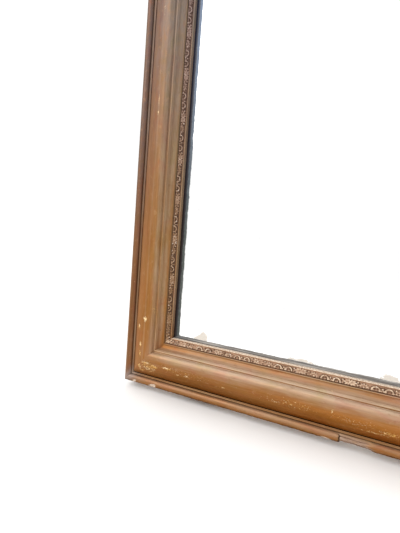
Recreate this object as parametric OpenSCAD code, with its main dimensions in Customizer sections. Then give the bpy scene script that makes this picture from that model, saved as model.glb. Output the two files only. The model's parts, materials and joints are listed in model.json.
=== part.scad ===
/* [Frame] */
// Outer width of the moulded frame
frame_w = 780; // [640:10:1000]
// Outer height of the moulded frame, along its face
frame_h = 1700; // [1500:10:1900]
// Angle by which the frame leans back from upright
lean = 8; // [6:0.5:9]
// Height of the frame's rear lower edge above the floor
rail_lift = 8; // [7:1:12]

/* [Mirror] */
// Thickness of the mirror plate
plate_t = 5; // [4:0.5:5]
// Thickness of the backboards
board_t = 8; // [6:1:8]

/* [Strut] */
// Angle of the open strut from upright
strut_open = 8.5; // [8:0.5:10]
// Distance from the frame's lower edge to the strut hinge, along the back
hinge_s = 1180; // [1100:10:1250]
// Distance between the middles of the two strut legs
leg_gap = 320; // [280:10:400]
// Width of a strut leg
leg_w = 34; // [28:1:40]
// Thickness of the strut's wood
leg_t = 22; // [18:1:24]

/* [Battens] */
// Thickness of the battens across the back
batten_t = 20; // [18:1:24]
// Height of each batten
batten_h = 70; // [60:1:80]

/* [Hidden] */
$fn = 48;
// moulding section: u runs inward from the outer edge, d runs forward from the back
face_w = 105;
rebate_u = 97;
rebate_d = 26.3;
bead_r = 8;
bead_c = [8, 28.5];
// edges of the groove between the bead and the torus, and its small step
groove_outline = [[16.2, 29.2], [16.8, 32.2], [20.3, 31.7]];
torus_r = 50.5;
torus_c = [66.5, 7.5];
shoulder_r = 10;
shoulder_c = [66.5, 48];
quirk = [76.9, 48.6];
ridge_r = 2;
ridge_c = [79.3, 48.4];
cove_r = 12;
cove_c = [94, 49.6];
lip_r = 1.3;
lip_c = [103.7, 33.6];
side_u = 3;
bead_from = 180 + acos((bead_c[0] - side_u) / bead_r);
// narrow fillet between the cove and the ornament
fillet_u = [92.2, 94.3];
fillet_d = 40;
fillet_low = 38.2;
// compo ornament, laid on the sloping field beside the sight edge
field_top = [95.2, 39];
field_low = [103.4, 34.6];
compo_t = 2.2;
field_run = field_low - field_top;
field_n = [-field_run[1], field_run[0]] / norm(field_run) * compo_t;
// hardwood feather let into each mitre
key_leg = 60;
key_t = 3;
key_d = 10;
// plate, boards and blocks in the rebate
plate_gap = 1.5;
paint_t = 0.3;
board_inset = 1.5;
board_gap = 0.8;
board_count = 3;
board_d = board_inset + board_t;
opening_w = frame_w - 2 * rebate_u;
opening_h = frame_h - 2 * rebate_u;
board_w = (opening_w - 2 - (board_count - 1) * board_gap) / board_count;
board_chamfer = 4;
block_l = 40;
block_w = 7;
block_count = 6;
block_first = 90;
sprig_r = 0.7;
sprig_l = 16;
sprig_first = 60;
sprig_count = 7;
// corner plates on the back
corner_leg = 112;
corner_inset = 12;
corner_t = 6;
corner_tip = 14;
corner_spots = [[30, 30], [104, 28], [28, 104]];
// distance of a batten's end from the frame's outer edge
batten_end = 30;
// hinge: the axis lies one leaf half-thickness behind the batten's rear face
leaf_t = 2;
leaf_l = 60;
leaf_h = 30;
barrel_r = 3.5;
barrel_l = 20;
pin_r = 2;
run_gap = 0.05;
hinge_x = 85;
leaf_start = barrel_r + 0.4;
screw_spots = [[-20, 14], [0, 21], [20, 14]];
hinge_y = batten_t + leaf_t / 2;
batten_above = 4.5;
// strut bars, measured down from the hinge axis
head_h = 46;
head_gap = 0.3;
bar_h = 40;
top_bar_h = 60;
top_bar_z = -5;
front_y = leaf_t / 2;
boot_t = 2;
boot_h = 24;
dowel_l = 40;
dowel_r = 4;
// lower batten, and the turn button that holds the folded strut's low bar
low_batten_s = 330;
button_s = 385;
button_above = 35;
button_lift = 0.4;
low_bar_z = button_s - button_above - hinge_s;
mid_bar_z = low_bar_z / 2 - 15;
post_h = 30;
post_w = 34;
post_t = leg_t + 4;
button_y = batten_t + post_t + button_lift;
button_l = 92;
button_w = 18;
button_t = 6;
button_r = 2.5;
// strap between the lower batten and the strut's low bar
strap_x = 90;
strap_w = 26;
strap_t = 3;
strap_s = 366;
strap_gap = 1.5;
strap_tab = 12;
// foot blocks on the back of the bottom rail, which carry it clear of the floor
foot_x = frame_w / 2 - 165;
foot_l = 60;
foot_t = 18;
foot_top = 42;
foot_screw_x = 18;
foot_screw_z = 24;
// spare height and depth of the blocks that trim what they cross
trim = 60;
hinge_yw = hinge_y * cos(lean) + hinge_s * sin(lean);
hinge_zw = rail_lift - hinge_y * sin(lean) + hinge_s * cos(lean);
heel_y = front_y + leg_t + boot_t;
leg_l = (hinge_zw + heel_y * sin(strut_open)) / cos(strut_open) + trim;
front_reach = torus_r + torus_c[1] * cos(lean) - torus_c[0] * sin(lean);
back_reach = hinge_yw + heel_y * cos(strut_open)
    + (hinge_zw + heel_y * sin(strut_open)) * tan(strut_open);
middle_y = (front_reach - back_reach) / 2;

function arc(c, r, from, to, steps) =
    [for (i = [0:steps]) let (a = from + (to - from) * i / steps) c + r * [cos(a), sin(a)]];

moulding_outline = concat(
    [[side_u, 0]],
    arc(bead_c, bead_r, bead_from, 14, 22),
    groove_outline,
    arc(torus_c, torus_r, 156, 90, 24),
    arc(shoulder_c, shoulder_r, 80, 10, 8),
    [quirk],
    arc(ridge_c, ridge_r, 160, -5, 10),
    arc(cove_c, cove_r, 192, 258, 12),
    [[fillet_u[0], fillet_low], [fillet_u[0], fillet_d]],
    [[fillet_u[1], fillet_d], [fillet_u[1], fillet_low]],
    [field_top, field_low],
    arc(lip_c, lip_r, 95, 0, 6),
    [[face_w, rebate_d], [rebate_u, rebate_d], [rebate_u, 0]]
);

compo_outline = [field_top, field_top + field_n, field_low + field_n, field_low];

// puts what is drawn flat against an upright frame into its leaning place
module on_frame() {
    translate([0, middle_y, rail_lift]) rotate([-lean, 0, 0]) children();
}

// puts what is drawn hanging down from the hinge axis into the open strut's place
module on_strut() {
    translate([0, middle_y + hinge_yw, hinge_zw]) rotate([strut_open, 0, 0]) children();
}

// one length cut to 45 degrees at both ends, along x, with its outer edge at z = 0
module mitred(outline, length) {
    w = face_w + 5;
    depth = torus_r + torus_c[1] + 5;
    intersection() {
        rotate([180, -90, 0]) linear_extrude(length) polygon(outline);
        translate([0, 1, 0]) rotate([90, 0, 0]) linear_extrude(depth)
            polygon([[0, 0], [length, 0], [length - w, w], [w, w]]);
    }
}

module mitre_key() {
    translate([0, -key_d, 0]) rotate([90, 0, 0]) linear_extrude(key_t)
        polygon([[side_u, side_u], [side_u + key_leg, side_u], [side_u, side_u + key_leg]]);
}

module moulding(length) {
    difference() {
        mitred(moulding_outline, length);
        mitre_key();
        translate([length, 0, 0]) mirror([1, 0, 0]) mitre_key();
    }
}

module at_left() { translate([-frame_w / 2, 0, frame_h]) rotate([0, 90, 0]) children(); }
module at_right() { translate([frame_w / 2, 0, 0]) rotate([0, -90, 0]) children(); }
module at_bottom() { translate([-frame_w / 2, 0, 0]) children(); }
module at_top() { translate([frame_w / 2, 0, frame_h]) rotate([0, 180, 0]) children(); }

module left_stile() { color("peru") on_frame() at_left() moulding(frame_h); }
module right_stile() { color("peru") on_frame() at_right() moulding(frame_h); }
module top_rail() { color("peru") on_frame() at_top() moulding(frame_w); }
module bottom_rail() { color("peru") on_frame() at_bottom() moulding(frame_w); }

module left_ornament() { color("tan") on_frame() at_left() mitred(compo_outline, frame_h); }
module right_ornament() { color("tan") on_frame() at_right() mitred(compo_outline, frame_h); }
module top_ornament() { color("tan") on_frame() at_top() mitred(compo_outline, frame_w); }
module bottom_ornament() { color("tan") on_frame() at_bottom() mitred(compo_outline, frame_w); }

module four_corners() {
    for (sx = [-1, 1], top = [0, 1])
        translate([sx * frame_w / 2, 0, top * frame_h])
            mirror([sx > 0 ? 1 : 0, 0, 0]) mirror([0, 0, top]) children();
}

module mitre_keys() { color("sienna") on_frame() four_corners() mitre_key(); }

// a flat sheet filling the rebate, its rear face at depth d
module sheet(d, t, gap) {
    w = opening_w - 2 * gap;
    h = opening_h - 2 * gap;
    translate([-w / 2, -d - t, rebate_u + gap]) cube([w, t, h]);
}

module mirror_plate() {
    color("lightsteelblue") on_frame() sheet(rebate_d - plate_t, plate_t, plate_gap);
}

module mirror_backing() {
    color("dimgray") on_frame() sheet(rebate_d - plate_t - paint_t, paint_t, plate_gap);
}

// small blocks that press the plate forward, along all four edges
module glazing_blocks() {
    t = rebate_d - plate_t - paint_t - board_d;
    side = opening_w / 2 - board_gap - block_w;
    first = rebate_u + block_first;
    pitch = (opening_h - 2 * block_first - block_l) / (block_count - 1);
    low = rebate_u + board_gap;
    color("burlywood") on_frame() translate([0, -board_d - t, 0]) {
        for (sx = [-1, 1], i = [0:block_count - 1])
            translate([sx * (side + block_w / 2) - block_w / 2, 0, first + i * pitch])
                cube([block_w, t, block_l]);
        for (z = [low, frame_h - low - block_w], i = [-1:1])
            translate([i * opening_w / 3 - block_l / 2, 0, z]) cube([block_l, t, block_w]);
    }
}

// an upright board with its rear long edges chamfered
module backboard(i) {
    c = board_chamfer;
    x = -opening_w / 2 + 1 + i * (board_w + board_gap);
    color("wheat") on_frame() translate([x, -board_inset, rebate_u + 1])
        linear_extrude(opening_h - 2)
            polygon([[0, -board_t], [board_w, -board_t], [board_w, -c],
                [board_w - c, 0], [c, 0], [0, -c]]);
}

module backboard_1() { backboard(0); }
module backboard_2() { backboard(1); }
module backboard_3() { backboard(2); }

// headless nails driven into the rebate wall behind the boards
module backboard_sprigs() {
    y = -board_inset / 2;
    first = rebate_u + sprig_first;
    pitch = (opening_h - 2 * sprig_first) / (sprig_count - 1);
    color("gray") on_frame() {
        for (sx = [-1, 1], i = [0:sprig_count - 1])
            translate([sx * opening_w / 2, y, first + i * pitch])
                rotate([0, 90, 0]) cylinder(h = sprig_l, r = sprig_r, center = true);
        for (z = [rebate_u, frame_h - rebate_u], i = [-1:1])
            translate([i * opening_w / 3, y, z])
                cylinder(h = sprig_l, r = sprig_r, center = true);
    }
}

// slotted screw with a low round head, pointing down, with the wood's face at z = 0
module pan_screw(length, shank, head) {
    difference() {
        union() {
            cylinder(h = 1.2, r = head);
            translate([0, 0, 1.2]) cylinder(h = 0.9, r1 = head, r2 = head * 0.6);
            translate([0, 0, -length]) cylinder(h = length, r = shank);
        }
        translate([-head, -0.5, 1.1]) cube([2 * head, 1, 2]);
    }
}

// slotted countersunk screw, pointing down, with its flat head at z = 0
module flat_screw(length, shank, head) {
    difference() {
        union() {
            translate([0, 0, shank - head]) cylinder(h = head - shank, r1 = shank, r2 = head);
            translate([0, 0, -length]) cylinder(h = length - head + shank, r = shank);
        }
        translate([-head, -0.35, -0.7]) cube([2 * head, 0.7, 1]);
    }
}

// triangular plate with blunt tips across the back of each corner
module corner_plates() {
    color("burlywood") on_frame() four_corners()
        translate([corner_inset, corner_t, corner_inset]) rotate([90, 0, 0])
            linear_extrude(corner_t) polygon([[0, 0], [corner_leg, 0],
                [corner_leg, corner_tip], [corner_tip, corner_leg], [0, corner_leg]]);
}

module corner_screws() {
    color("gray") on_frame() four_corners() for (p = corner_spots)
        translate([p[0], corner_t, p[1]]) rotate([-90, 0, 0]) pan_screw(15, 1.8, 3.8);
}

module batten(s) {
    w = frame_w - 2 * batten_end;
    color("burlywood") on_frame() translate([-w / 2, 0, s]) cube([w, batten_t, batten_h]);
}

module upper_batten() { batten(hinge_s + batten_above); }
module lower_batten() { batten(low_batten_s); }

module batten_screws() {
    color("gray") on_frame()
        for (s = [hinge_s + batten_above, low_batten_s], sx = [-1, 1], k = [0.25, 0.75])
            translate([sx * (frame_w / 2 - 2 * batten_end), batten_t, s + k * batten_h])
                rotate([-90, 0, 0]) pan_screw(38, 2.2, 4.4);
}

// blocks with a chamfered top, cut level with the floor
module frame_feet() {
    low = -foot_t;
    color("saddlebrown") difference() {
        on_frame() for (sx = [-1, 1]) translate([sx * foot_x - foot_l / 2, 0, 0])
            rotate([90, 0, 90]) linear_extrude(foot_l)
                polygon([[0, low], [foot_t, low], [foot_t, foot_top - foot_t / 2],
                    [foot_t / 2, foot_top], [0, foot_top]]);
        translate([-frame_w / 2, middle_y - trim, -trim]) cube([frame_w, 2 * trim, trim]);
    }
}

module foot_screws() {
    color("gray") on_frame() for (sx = [-1, 1], k = [-1, 1])
        translate([sx * foot_x + k * foot_screw_x, foot_t, foot_screw_z])
            rotate([-90, 0, 0]) pan_screw(38, 2.2, 4.4);
}

// places at the two hinges, in the frame's own upright position
module frame_hinges() {
    on_frame() translate([0, hinge_y, hinge_s]) for (sx = [-1, 1])
        translate([sx * hinge_x, 0, 0]) children();
}

module strut_hinges() {
    on_strut() for (sx = [-1, 1]) translate([sx * hinge_x, 0, 0]) children();
}

module barrel(x, length, bore) {
    difference() {
        union() {
            translate([x, 0, 0]) rotate([0, 90, 0]) cylinder(h = length, r = barrel_r);
            translate([x, -leaf_t / 2, 0]) cube([length, leaf_t, leaf_start + 1]);
        }
        translate([x - 1, 0, 0]) rotate([0, 90, 0]) cylinder(h = length + 2, r = bore);
    }
}

// leaf above the axis; its countersinks open towards +y
module leaf() {
    difference() {
        translate([-leaf_l / 2, -leaf_t / 2, leaf_start])
            cube([leaf_l, leaf_t, leaf_h - leaf_start]);
        for (p = screw_spots) translate([p[0], leaf_t / 2, p[1]]) rotate([-90, 0, 0]) {
            translate([0, 0, -1.7]) cylinder(h = 1.7, r1 = 1.7, r2 = 3.4);
            translate([0, 0, -leaf_t - 1]) cylinder(h = leaf_t + 1, r = 1.7);
        }
    }
}

module hinge_frame_leaves() {
    color("goldenrod") frame_hinges() union() {
        leaf();
        barrel(-leaf_l / 2, barrel_l, pin_r);
        barrel(leaf_l / 2 - barrel_l, barrel_l, pin_r);
    }
}

module hinge_strut_leaves() {
    color("goldenrod") strut_hinges() rotate([180, 0, 0]) union() {
        leaf();
        barrel(-barrel_l / 2 + 0.3, barrel_l - 0.6, pin_r + run_gap);
    }
}

module hinge_pins() {
    color("gold") frame_hinges() union() {
        translate([-leaf_l / 2, 0, 0]) rotate([0, 90, 0]) cylinder(h = leaf_l, r = pin_r);
        for (x = [-leaf_l / 2 - 1.5, leaf_l / 2]) translate([x, 0, 0])
            rotate([0, 90, 0]) cylinder(h = 1.5, r = 3);
    }
}

module leaf_screws() {
    for (p = screw_spots) translate([p[0], leaf_t / 2, p[1]]) rotate([-90, 0, 0])
        flat_screw(16, 1.6, 3.2);
}

module hinge_frame_screws() { color("gold") frame_hinges() leaf_screws(); }
module hinge_strut_screws() { color("gold") strut_hinges() rotate([180, 0, 0]) leaf_screws(); }

// leg with a head that is bevelled to stop against the upper batten
module strut_leg(sx) {
    color("burlywood") difference() {
        on_strut() translate([sx * leg_gap / 2 - leg_w / 2, front_y, -leg_l])
            cube([leg_w, leg_t, leg_l + head_h]);
        on_frame() translate([-leg_gap, hinge_y - leaf_t / 2 + head_gap - trim, hinge_s - 1])
            cube([2 * leg_gap, trim, batten_h]);
        translate([-leg_gap, 0, -2 * trim]) cube([2 * leg_gap, hinge_s, 2 * trim + 3 * boot_t]);
    }
}

module strut_left_leg() { strut_leg(-1); }
module strut_right_leg() { strut_leg(1); }

module strut_bar(z, h) {
    w = leg_gap - leg_w;
    color("burlywood") on_strut() translate([-w / 2, front_y, z - h]) cube([w, leg_t, h]);
}

module strut_top_bar() { strut_bar(top_bar_z, top_bar_h); }
module strut_middle_bar() { strut_bar(mid_bar_z, bar_h); }
module strut_low_bar() { strut_bar(low_bar_z, bar_h); }

// dowels across the joints between bars and legs
module strut_dowels() {
    heights = [top_bar_z - top_bar_h / 4, top_bar_z - top_bar_h * 3 / 4,
        mid_bar_z - bar_h / 2, low_bar_z - bar_h / 2];
    color("tan") on_strut() for (z = heights, sx = [-1, 1])
        translate([sx * (leg_gap / 2 - leg_w / 2), front_y + leg_t / 2, z])
            rotate([0, 90, 0]) cylinder(h = dowel_l, r = dowel_r, center = true);
}

// rubber boots that hold the leg ends, cut level with the floor
module strut_boots() {
    wall = boot_t;
    color("darkslategray") difference() {
        on_strut() for (sx = [-1, 1])
            translate([sx * leg_gap / 2 - leg_w / 2 - wall, front_y - wall, -leg_l])
                cube([leg_w + 2 * wall, leg_t + 2 * wall, leg_l]);
        translate([-leg_gap, 0, boot_h]) cube([2 * leg_gap, hinge_s, frame_h]);
        translate([-leg_gap, 0, -2 * trim]) cube([2 * leg_gap, hinge_s, 2 * trim]);
        for (sx = [-1, 1]) strut_leg(sx);
    }
}

module button_post() {
    color("burlywood") on_frame()
        translate([-post_w / 2, batten_t, button_s - post_h / 2])
            cube([post_w, post_t, post_h]);
}

module turn_button() {
    color("goldenrod") on_frame() translate([0, button_y, button_s]) rotate([-90, 0, 0])
        difference() {
            union() {
                for (sx = [-1, 1]) translate([sx * (button_l - button_w) / 2, 0, 0])
                    cylinder(h = button_t, r = button_w / 2);
                translate([-(button_l - button_w) / 2, -button_w / 2, 0])
                    cube([button_l - button_w, button_w, button_t]);
            }
            translate([0, 0, -1]) cylinder(h = button_t + 2, r = button_r + run_gap);
        }
}

module button_screw() {
    shank = button_t + 2 * button_lift;
    color("gold") on_frame() translate([0, button_y - button_lift, button_s])
        rotate([-90, 0, 0]) translate([0, 0, shank]) pan_screw(shank + 20, button_r, 5.5);
}

// middles of the strap's two ends, as [y, z] before the shift to the middle
strap_a = [batten_t * cos(lean) + strap_s * sin(lean),
    rail_lift - batten_t * sin(lean) + strap_s * cos(lean)];
strap_drop = low_bar_z - bar_h / 2;
strap_b = [hinge_yw + front_y * cos(strut_open) - strap_drop * sin(strut_open),
    hinge_zw + front_y * sin(strut_open) + strap_drop * cos(strut_open)];
strap_run = strap_b - strap_a;

// leather straps that tie the strut to the frame
module stay_straps() {
    l = norm(strap_run);
    color("maroon") for (sx = [-1, 1])
        translate([sx * strap_x - strap_w / 2, middle_y + strap_a[0], strap_a[1]])
            rotate([atan2(strap_run[1], strap_run[0]), 0, 0])
                translate([0, strap_gap, -strap_t / 2])
                    cube([strap_w, l - 2 * strap_gap, strap_t]);
}

module strap_frame_screws() {
    color("gold") on_frame() for (sx = [-1, 1])
        translate([sx * strap_x, batten_t, strap_s + strap_tab]) rotate([-90, 0, 0])
            pan_screw(16, 1.8, 4);
}

module strap_strut_screws() {
    color("gold") on_strut() for (sx = [-1, 1])
        translate([sx * strap_x, front_y, strap_drop - strap_tab]) rotate([90, 0, 0])
            pan_screw(14, 1.8, 4);
}

left_stile();
right_stile();
top_rail();
bottom_rail();
left_ornament();
right_ornament();
top_ornament();
bottom_ornament();
mitre_keys();
mirror_plate();
mirror_backing();
glazing_blocks();
backboard_1();
backboard_2();
backboard_3();
backboard_sprigs();
corner_plates();
corner_screws();
upper_batten();
lower_batten();
batten_screws();
frame_feet();
foot_screws();
hinge_frame_leaves();
hinge_pins();
hinge_frame_screws();
button_post();
button_screw();
turn_button();
strap_frame_screws();
stay_straps();
strut_left_leg();
strut_right_leg();
strut_top_bar();
strut_middle_bar();
strut_low_bar();
strut_dowels();
strut_boots();
hinge_strut_leaves();
hinge_strut_screws();
strap_strut_screws();
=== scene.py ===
import json
import math

import bpy
import numpy as np
from mathutils import Matrix, Vector


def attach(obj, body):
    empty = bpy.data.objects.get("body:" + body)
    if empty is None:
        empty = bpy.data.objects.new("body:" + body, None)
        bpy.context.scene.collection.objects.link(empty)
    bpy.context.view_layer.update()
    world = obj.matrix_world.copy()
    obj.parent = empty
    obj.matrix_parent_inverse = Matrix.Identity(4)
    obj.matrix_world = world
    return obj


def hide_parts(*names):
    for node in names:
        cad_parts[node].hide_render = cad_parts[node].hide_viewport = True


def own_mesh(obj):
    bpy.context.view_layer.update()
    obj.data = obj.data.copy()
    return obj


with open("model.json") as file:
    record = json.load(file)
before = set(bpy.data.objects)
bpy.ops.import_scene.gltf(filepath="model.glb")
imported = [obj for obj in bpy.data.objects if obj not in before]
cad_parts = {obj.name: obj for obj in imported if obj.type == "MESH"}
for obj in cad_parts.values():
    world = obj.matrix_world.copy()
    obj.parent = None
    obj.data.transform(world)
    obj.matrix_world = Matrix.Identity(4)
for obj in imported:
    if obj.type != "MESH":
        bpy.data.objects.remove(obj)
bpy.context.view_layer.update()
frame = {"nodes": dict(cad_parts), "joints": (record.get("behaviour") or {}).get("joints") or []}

MM = 0.001

# ---- places in the leaning frame

JOINTS = {joint["name"]: joint for joint in frame["joints"]}
BUTTON_AXIS = JOINTS["button_turn"]["axis"]
LEAN = math.atan2(-BUTTON_AXIS[2], BUTTON_AXIS[1])
LEAN_TURN = Matrix.Rotation(-LEAN, 3, "X")
HINGE = Vector(JOINTS["strut_fold"]["pos_m"])
HINGE_IN_FRAME = Vector((0, 0.021, 1.180))  # in metres, while the frame stands upright
ORIGIN = HINGE - LEAN_TURN @ HINGE_IN_FRAME
STRUT_OPEN = math.radians(8.5)
STRUT_TURN = Matrix.Rotation(STRUT_OPEN, 3, "X")


def to_world(points):
    """Points of the upright frame, in metres, where the leaning frame has them."""
    return np.asarray(points) @ np.array(LEAN_TURN).T + np.array(ORIGIN)


def upright_box(node):
    """Lowest and highest corner of a CAD node in the frame's own upright position, in millimetres."""
    mesh = frame["nodes"][node].data
    points = np.empty(len(mesh.vertices) * 3)
    mesh.vertices.foreach_get("co", points)
    points = (points.reshape(-1, 3) - np.array(ORIGIN)) @ np.array(LEAN_TURN) / MM
    return points.min(0), points.max(0)


RAIL_LOW, RAIL_HIGH = upright_box("bottom_rail")
STILE_LOW, STILE_HIGH = upright_box("left_stile")
FRAME_W = RAIL_HIGH[0] - RAIL_LOW[0]
FRAME_H = STILE_HIGH[2] - STILE_LOW[2]
FACE_W = RAIL_HIGH[2] - RAIL_LOW[2]

# ---- small maths

NOISE_CELLS = 256


def smooth(value, low, high):
    """0 below low, 1 above high, and a smooth step between them."""
    t = np.clip((value - low) / (high - low), 0, 1)
    return t * t * (3 - 2 * t)


def bell(away, reach):
    """1 where away is 0, fading to 0 over about twice the reach."""
    return np.exp(-((away / reach) ** 2))


def ripple(x, y, seed):
    """Smooth noise between about -1 and 1, with one bump for each unit of x and y."""
    table = np.random.default_rng(seed).uniform(-1, 1, (NOISE_CELLS, NOISE_CELLS))
    xi, yi = np.floor(x).astype(int), np.floor(y).astype(int)
    fx, fy = x - xi, y - yi
    fx, fy = fx * fx * (3 - 2 * fx), fy * fy * (3 - 2 * fy)
    x0, x1, y0, y1 = (n % NOISE_CELLS for n in (xi, xi + 1, yi, yi + 1))
    low = table[x0, y0] * (1 - fx) + table[x1, y0] * fx
    high = table[x0, y1] * (1 - fx) + table[x1, y1] * fx
    return low * (1 - fy) + high * fy


def rough(x, y, seed):
    """Noise with three octaves."""
    return (ripple(x, y, seed) + 0.5 * ripple(2 * x, 2 * y, seed + 1)
            + 0.25 * ripple(4 * x, 4 * y, seed + 2)) / 1.5


# ---- the moulding's section

# In millimetres: u runs inward from the outer edge, d forward from the back.
SIDE_U, SIDE_D = 3, 11
BEAD_C, BEAD_R = (8, 28.5), 8
TORUS_C, TORUS_R = (66.5, 7.5), 50.5
SHOULDER_C, SHOULDER_R = (66.5, 48), 10
QUIRK = (76.9, 49.3)
RIDGE_C, RIDGE_R = (79.3, 48.4), 2
COVE_C, COVE_R = (94, 49.6), 12
LIP_C, LIP_R = (103.7, 33.6), 1.3
FILLET_U, FILLET_D, FILLET_LOW = (92.2, 94.3), 40, 38.2
FIELD_TOP, FIELD_LOW = (95.2, 39), (103.4, 34.6)
REBATE_U, REBATE_D = 97, 26.3
GROOVE_FLOOR, STEP_LOW, STEP_HIGH = (16.2, 29.2), (16.8, 32.2), (20.3, 31.7)
STEP_LINE = [(18.0, 32.1), (18.4, 31.7), (18.8, 31.9)]
PAINT_FROM = 12

# Spots of the section, as (u, d), where dirt and painted shade gather, where wear shows, and where a
# highlight is painted.
BEAD_SIDE, BEAD_EDGE, BEAD_TOP = (1.6, 33.8), (2.4, 34.7), (5.0, 35.9)
STEP_TOP, TORUS_FOOT, TORUS_CREST = (18.4, 32.2), (20.6, 28.8), (58, 57.2)
RIDGE_TOP, FILLET_TOP = (79.3, 50.4), (93.2, 40.0)
FILLET_FOOT, FIELD_FOOT = (FILLET_U[0], FILLET_LOW), (94.6, 38.4)

# Each spot with its reach and its strength.
# Dirt with painted shade: dark in the groove, at the torus's foot, beside the fillet and ornament, and on the
# bead's downward-facing side.
DIRTY = [
    (GROOVE_FLOOR, 2.3, 0.75), (TORUS_FOOT, 2.3, 0.75), (FILLET_FOOT, 0.6, 0.25), (FIELD_FOOT, 0.9, 0.3),
    (BEAD_SIDE, 1.7, 0.55),
]
RUBBED = [(RIDGE_TOP, 1.0, 0.6), (STEP_TOP, 1.9, 1.1), (FILLET_TOP, 1.0, 0.6), (BEAD_TOP, 3.0, 0.3)]

# Where u enters and leaves the groove beside the bead, and the flat top of the fillet.
GROOVE_FROM, GROOVE_TO = 15.5, 20.6
FILLET_FROM, FILLET_TO = 92.1, 95


def arc(centre, radius, start, stop, steps):
    """Points of an arc between two angles in degrees."""
    angles = np.radians(np.linspace(start, stop, steps + 1))
    return [(centre[0] + radius * math.cos(t), centre[1] + radius * math.sin(t)) for t in angles]


def front_outline():
    """The outline from the back of the outer side round the front to the rebate."""
    bead_from = 180 + math.degrees(math.acos((BEAD_C[0] - SIDE_U) / BEAD_R))
    return (
        [(SIDE_U, 0), (SIDE_U, SIDE_D)]
        + arc(BEAD_C, BEAD_R, bead_from, 14, 30)
        + [GROOVE_FLOOR, STEP_LOW] + STEP_LINE + [STEP_HIGH]
        + arc(TORUS_C, TORUS_R, 156, 90, 56)
        + arc(SHOULDER_C, SHOULDER_R, 80, 10, 14)
        + [QUIRK]
        + arc(RIDGE_C, RIDGE_R, 160, -5, 12)
        + arc(COVE_C, COVE_R, 192, 258, 16)
        + [(FILLET_U[0], FILLET_LOW), (FILLET_U[0], FILLET_D)]
        + [(FILLET_U[1], FILLET_D), (FILLET_U[1], FILLET_LOW)]
        + [FIELD_TOP, FIELD_LOW]
        + arc(LIP_C, LIP_R, 95, 0, 6)
        + [(FACE_W, REBATE_D)]
    )


BACK_OUTLINE = [(REBATE_U, REBATE_D), (REBATE_U, 0)]


def spaced(points, pitch):
    """The same closed outline with no two neighbours further apart than pitch."""
    out = []
    for here, after in zip(points, points[1:] + points[:1]):
        steps = max(1, math.ceil(math.dist(here, after) / pitch))
        out += [tuple(np.add(here, np.subtract(after, here) * k / steps)) for k in range(steps)]
    return out


class Section:
    """The outline with its outward normals, its running length, where dirt and painted shade gather and where
    wear shows.
    """

    def __init__(self, pitch):
        self.points = np.array(spaced(front_outline() + BACK_OUTLINE, pitch))
        self.u, self.d = self.points.T
        run = np.roll(self.points, -1, 0) - np.roll(self.points, 1, 0)
        self.normals = np.stack([-run[:, 1], run[:, 0]], 1) / np.linalg.norm(run, axis=1)[:, None]
        steps = np.linalg.norm(np.diff(self.points, axis=0), axis=1)
        self.length = np.concatenate([[0], np.cumsum(steps)])
        self.painted = self.d > PAINT_FROM
        self.hollow, self.rub = (
            np.clip(sum(strength * self.near(spot, reach) for spot, reach, strength in spots), 0, 1)
            for spots in (DIRTY, RUBBED))
        self.lip = smooth(self.u, 104.3, 104.8) * (self.d < 36)
        self.bead = smooth(self.d, 20.0, 24.5) * (1 - smooth(self.u, 13.4, 15.2)) * (self.u < 17)
        self.open = self.openness()

    def openness(self):
        """How much dust and painted light each point takes: less on the bead, its groove and the cove, which
        are painted darker as shaded, more by the ridge, painted lighter.
        """
        cove = smooth(self.u, 82.5, 88) * (self.u < FILLET_FROM)
        by_ridge = smooth(self.u, 71, 74) * (1 - smooth(self.u, 81, 84))
        fillet = (self.u > FILLET_FROM) & (self.u < FILLET_TO)
        groove = (self.u > GROOVE_FROM) & (self.u < GROOVE_TO)
        taken = 1 - 0.28 * cove + (0.28 * by_ridge + 0.1 * fillet)
        return taken * (1 - 0.20 * (self.u < GROOVE_FROM) - 0.5 * groove)

    def away(self, spot):
        return np.hypot(self.u - spot[0], self.d - spot[1])

    def near(self, spot, reach):
        """1 at a spot of the section, fading to 0 over about twice the reach."""
        return bell(self.away(spot), reach)

    def across(self, spot):
        """Running length at the point of the section nearest to a spot."""
        return self.length[np.argmin(self.away(spot))]


SECTION = Section(pitch=1.15)

# ---- damage, in millimetres

# Chips: distance along the piece, place across it as u and d, half length, half width, depth.
RAIL_CHIPS = [
    (22, 3.4, 35.3, 5.0, 4.4, 1.5), (66, 3.7, 35.5, 8.5, 5.4, 1.9), (110, 0.6, 31.0, 4.0, 2.4, 0.8),
    (181, 0.6, 31.0, 5.0, 2.2, 0.8), (262, 0.6, 31.0, 9.0, 2.4, 0.9), (318, 0.6, 31.0, 6.0, 2.4, 1.0),
    (352, 0.6, 31.0, 5.0, 2.4, 0.8), (398, 2.0, 34.2, 9.0, 2.6, 1.0), (590, 2.6, 34.8, 10.0, 3.4, 1.4),
]
STILE_CHIPS = [(1640, 0.7, 31.2, 4.0, 2.0, 0.6), (1210, 0.7, 31.2, 7.0, 2.2, 0.6)]
TOP_CHIPS = [(150, 0.7, 31.2, 5.0, 2.2, 0.7), (560, 0.7, 31.2, 7.0, 2.2, 0.7)]
RIGHT_CHIPS = [(36, 1.0, 32.0, 6.0, 3.2, 1.2), (700, 0.7, 31.2, 6.0, 2.2, 0.7)]

# Where the bead's shell is broken away on the bottom rail, and where its worn stump runs on to.
BREAK_FROM, BREAK_TO, STUMP_TO = 419, 468, 640


def bead_loss(along, across):
    """Of the bottom rail's bead: millimetres gone, how far the core shows, and the crack beside it."""
    level = 0 * across
    start = BREAK_FROM + 1.6 * ripple(across / 3.1, level, 71)
    end = BREAK_TO + 9 * ripple(across / 4.3, level, 72)
    beyond = smooth(along, end - 8, end + 6)
    broken = smooth(along, start - 0.4, start + 0.5) * (1 - beyond)
    stump = beyond * (1 - smooth(along, STUMP_TO - 90, STUMP_TO))
    sag = 1 + 0.35 * ripple(along / 17, level, 73)
    return 3.0 * sag * broken + 0.35 * sag * stump, broken, bell(along - start, 0.9)


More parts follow.
